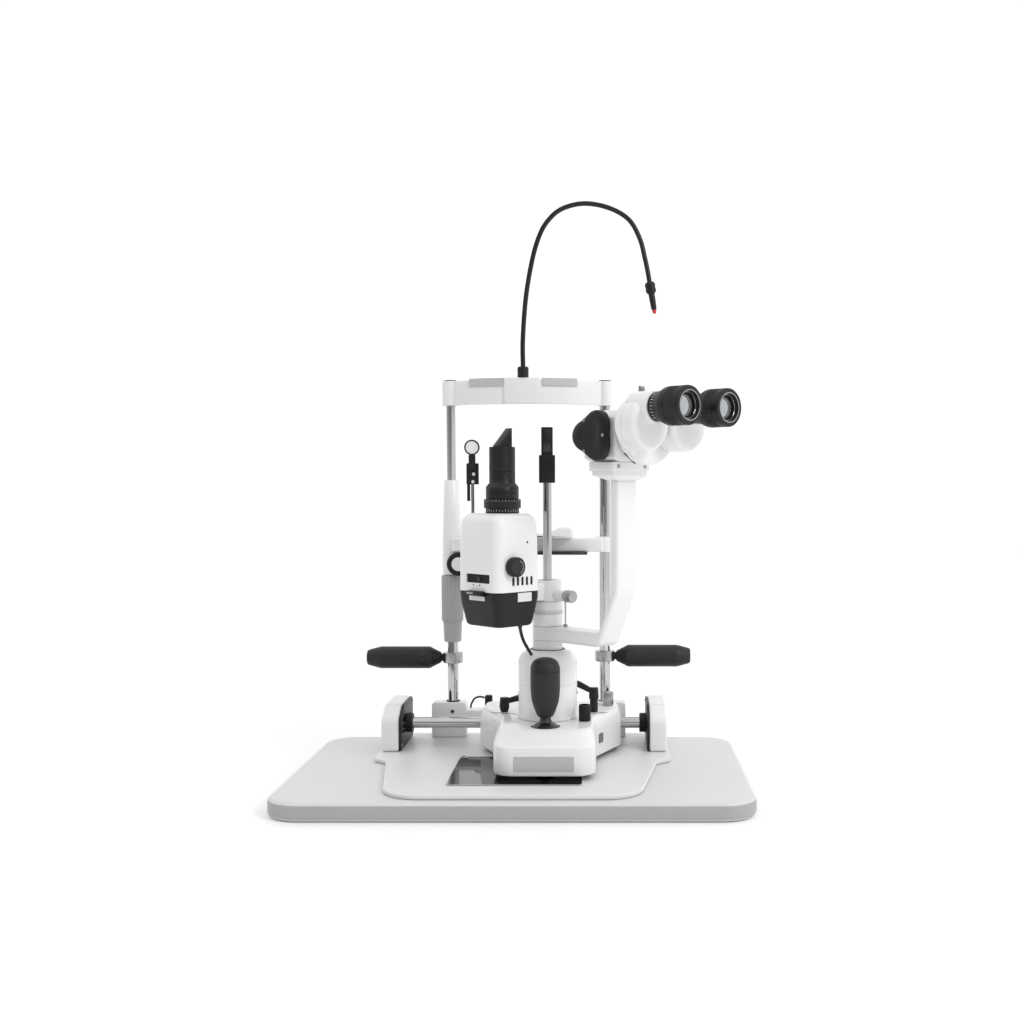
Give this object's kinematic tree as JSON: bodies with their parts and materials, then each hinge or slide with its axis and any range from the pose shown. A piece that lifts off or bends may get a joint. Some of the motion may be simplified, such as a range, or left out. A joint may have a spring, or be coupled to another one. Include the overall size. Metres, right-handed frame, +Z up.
{
  "type": "slit lamp",
  "caption": "White tabletop slit lamp with joystick carriage, swinging binocular microscope and lamp tower, headrest and gooseneck fixation light",
  "frame": {"origin": "centre of the tabletop's underside", "axes": "+X to the right as the examiner sees it, +Y away from the examiner toward the patient, +Z up"},
  "size_m": [0.61, 0.4475, 0.816],
  "materials": {
    "white_enamel": "satin",
    "white_laminate": "satin",
    "black_plastic": "matte",
    "black_metal": "satin",
    "grey_plastic": "satin",
    "grey_pad": "matte",
    "white_plastic": "gloss",
    "chrome": "polished",
    "steel": "satin",
    "led_block": "satin",
    "black_glass": "gloss",
    "cable": "matte"
  },
  "bodies": {
    "stand": {"tabletop": "white_laminate", "glide_plate": "white_enamel", "friction_plate": "black_glass", "rail_guard_left": "white_enamel", "rail_guard_right": "white_enamel", "rail_cover_left": "black_plastic", "rail_cover_right": "black_plastic", "headrest_base": "white_enamel", "upright_left": "chrome", "upright_right": "chrome", "forehead_band": "white_enamel", "forehead_pad_left": "grey_pad", "forehead_pad_right": "grey_pad", "hand_grip_left": "black_plastic", "hand_grip_right": "black_plastic", "fixation_plug": "black_plastic", "fixation_lead": "cable"},
    "cross_guides": {"axle_guide_left": "black_plastic", "axle_guide_right": "black_plastic"},
    "cross_axle": {"cross_shaft": "chrome"},
    "carriage": {"carriage_housing": "white_enamel", "turret_cover": "white_enamel"},
    "stick_gimbal": {"joystick_gimbal": "steel"},
    "stick": {"joystick_stem": "black_plastic"},
    "stick_grip": {"joystick_grip": "black_plastic"},
    "left_lever": {"lock_lever_left": "black_plastic"},
    "right_lever": {"lock_lever_right": "black_plastic"},
    "dimmer": {"dimmer_knob": "black_plastic"},
    "carriage_lock": {"carriage_lock_knob": "steel"},
    "column": {"column_post": "white_enamel"},
    "test_rod": {"focus_rod": "chrome"},
    "microscope": {"microscope_arm": "white_enamel", "magnifier_housing": "white_enamel", "objective": "black_metal", "binocular_body": "white_enamel"},
    "magnification": {"magnification_knobs": "black_plastic"},
    "prism_left": {"prism_housing_left": "white_enamel"},
    "prism_right": {"prism_housing_right": "white_enamel"},
    "ocular_left": {"eyepiece_left": "black_plastic"},
    "ocular_right": {"eyepiece_right": "black_plastic"},
    "lamp": {"lamp_arm": "white_enamel", "lamp_housing": "white_enamel", "lamp_cover": "black_plastic", "led_module": "led_block", "tower_body": "black_metal", "fill_rod": "chrome", "lamp_lead": "cable"},
    "arm_lock": {"arm_lock_knob": "steel"},
    "slit_width": {"slit_width_knob": "black_plastic"},
    "filter": {"filter_lever": "black_plastic"},
    "slit_angle": {"slit_ring": "black_plastic"},
    "fill_light": {"fill_reflector": "black_plastic"},
    "chin_screw": {"chin_height_knob": "grey_plastic"},
    "chin_carriage": {"chin_rest_arm": "white_enamel", "chin_tray": "black_plastic", "chin_cup": "white_plastic"},
    "chin_lock": {"chin_lock_knob": "black_plastic"},
    "fixation_arm": {"gooseneck_collar": "black_plastic", "gooseneck": "black_metal", "fixation_head": "black_plastic"}
  },
  "joints": [
    {"name": "carriage_in_out", "type": "slide", "parent": "stand", "child": "cross_guides", "axis": [0, 1, 0], "range_m": [-0.033, 0.033]},
    {"name": "axle_roll", "type": "hinge", "parent": "cross_guides", "child": "cross_axle", "pos_m": [0, 0.111, 0.063], "axis": [1, 0, 0], "range_deg": [-141, 141]},
    {"name": "carriage_traverse", "type": "slide", "parent": "cross_guides", "child": "carriage", "axis": [1, 0, 0], "range_m": [-0.099, 0.025]},
    {"name": "joystick_fore_aft", "type": "hinge", "parent": "carriage", "child": "stick_gimbal", "pos_m": [0.037, -0.069, 0.075], "axis": [1, 0, 0], "range_deg": [-5.5, 5.5]},
    {"name": "joystick_sideways", "type": "hinge", "parent": "stick_gimbal", "child": "stick", "pos_m": [0.037, -0.069, 0.075], "axis": [0, 1, 0], "range_deg": [-5.5, 5.5]},
    {"name": "joystick_twist", "type": "hinge", "parent": "stick", "child": "stick_grip", "pos_m": [0.037, -0.069, 0.075], "axis": [0, 0, 1], "range_deg": [-365, 545]},
    {"name": "lock_lever_left_turn", "type": "hinge", "parent": "carriage", "child": "left_lever", "pos_m": [-0.0255, 0.036, 0.0928], "axis": [0, 0, 1], "range_deg": [-15, 90]},
    {"name": "lock_lever_right_turn", "type": "hinge", "parent": "carriage", "child": "right_lever", "pos_m": [0.0995, 0.036, 0.0928], "axis": [0, 0, 1], "range_deg": [-90, 15]},
    {"name": "dimmer_turn", "type": "hinge", "parent": "carriage", "child": "dimmer", "pos_m": [0.088, -0.031, 0.0928], "axis": [0, 0, 1], "range_deg": [-135, 135]},
    {"name": "carriage_lock_turn", "type": "hinge", "parent": "carriage", "child": "carriage_lock", "pos_m": [0.1195, 0.088, 0.0928], "axis": [0, 0, 1], "range_deg": [-180, 180]},
    {"name": "column_lift", "type": "slide", "parent": "carriage", "child": "column", "axis": [0, 0, 1], "range_m": [-0.012, 0.018], "deforming": ["lamp_lead"]},
    {"name": "focus_rod_pull", "type": "slide", "parent": "column", "child": "test_rod", "axis": [0, 0, 1], "range_m": [0, 0.04]},
    {"name": "microscope_swing", "type": "hinge", "parent": "column", "child": "microscope", "pos_m": [0.037, 0, 0.2088], "axis": [0, 0, 1], "range_deg": [-85, 40]},
    {"name": "lamp_swing", "type": "hinge", "parent": "column", "child": "lamp", "pos_m": [0.037, 0, 0.266], "axis": [0, 0, 1], "range_deg": [-35, 95]},
    {"name": "magnification_turn", "type": "hinge", "parent": "microscope", "child": "magnification", "pos_m": [0.13317, -0.09617, 0.471], "axis": [0.7071, 0.7071, 0], "continuous": true},
    {"name": "prism_left_tilt", "type": "hinge", "parent": "microscope", "child": "prism_left", "pos_m": [0.1611, -0.17289, 0.483], "axis": [0.7071, -0.7071, 0], "range_deg": [-26, 12]},
    {"name": "prism_right_tilt", "type": "hinge", "parent": "microscope", "child": "prism_right", "pos_m": [0.20989, -0.1241, 0.483], "axis": [0.7071, -0.7071, 0], "range_deg": [-12, 26]},
    {"name": "dioptre_left_turn", "type": "hinge", "parent": "prism_left", "child": "ocular_left", "pos_m": [0.19539, -0.2093, 0.503], "axis": [0.7071, -0.7071, 0], "range_deg": [-120, 120]},
    {"name": "dioptre_right_turn", "type": "hinge", "parent": "prism_right", "child": "ocular_right", "pos_m": [0.2463, -0.15839, 0.503], "axis": [0.7071, -0.7071, 0], "range_deg": [-120, 120]},
    {"name": "arm_lock_turn", "type": "hinge", "parent": "lamp", "child": "arm_lock", "pos_m": [0.06783, -0.03083, 0.2605], "axis": [0.7071, -0.7071, 0], "range_deg": [-180, 180]},
    {"name": "slit_width_turn", "type": "hinge", "parent": "lamp", "child": "slit_width", "pos_m": [0.00129, -0.10288, 0.3048], "axis": [0.7071, -0.7071, 0], "range_deg": [-120, 120]},
    {"name": "filter_slide", "type": "slide", "parent": "lamp", "child": "filter", "axis": [0.7071, -0.7071, 0], "range_m": [-0.01, 0.01]},
    {"name": "slit_angle_turn", "type": "hinge", "parent": "lamp", "child": "slit_angle", "pos_m": [-0.019, -0.056, 0.385], "axis": [0, 0, 1], "range_deg": [-90, 90]},
    {"name": "fill_reflector_turn", "type": "hinge", "parent": "lamp", "child": "fill_light", "pos_m": [-0.06023, -0.03217, 0.434], "axis": [0, -1, 0], "range_deg": [-60, 60]},
    {"name": "chin_lift", "type": "slide", "parent": "stand", "child": "chin_carriage", "axis": [0, 0, 1], "range_m": [0, 0.07]},
    {"name": "chin_screw_turn", "type": "hinge", "parent": "stand", "child": "chin_screw", "pos_m": [-0.1145, 0.177, 0.24], "axis": [0, 0, 1], "range_deg": [-5, 1265]},
    {"name": "chin_lock_turn", "type": "hinge", "parent": "chin_carriage", "child": "chin_lock", "pos_m": [-0.1018, 0.155, 0.292], "axis": [0, -1, 0], "range_deg": [-180, 180]},
    {"name": "fixation_swing", "type": "hinge", "parent": "stand", "child": "fixation_arm", "pos_m": [-0.004, 0.1345, 0.57], "axis": [0, 0, 1], "range_deg": [-90, 90]}
  ],
  "couplings": [
    {"joint": "axle_roll", "follows": "carriage_in_out", "rad_per_m": -74.074},
    {"joint": "joystick_twist", "follows": "column_lift", "rad_per_m": 523.6},
    {"joint": "prism_right_tilt", "follows": "prism_left_tilt", "ratio": -1},
    {"joint": "chin_screw_turn", "follows": "chin_lift", "rad_per_m": 314.16}
  ]
}
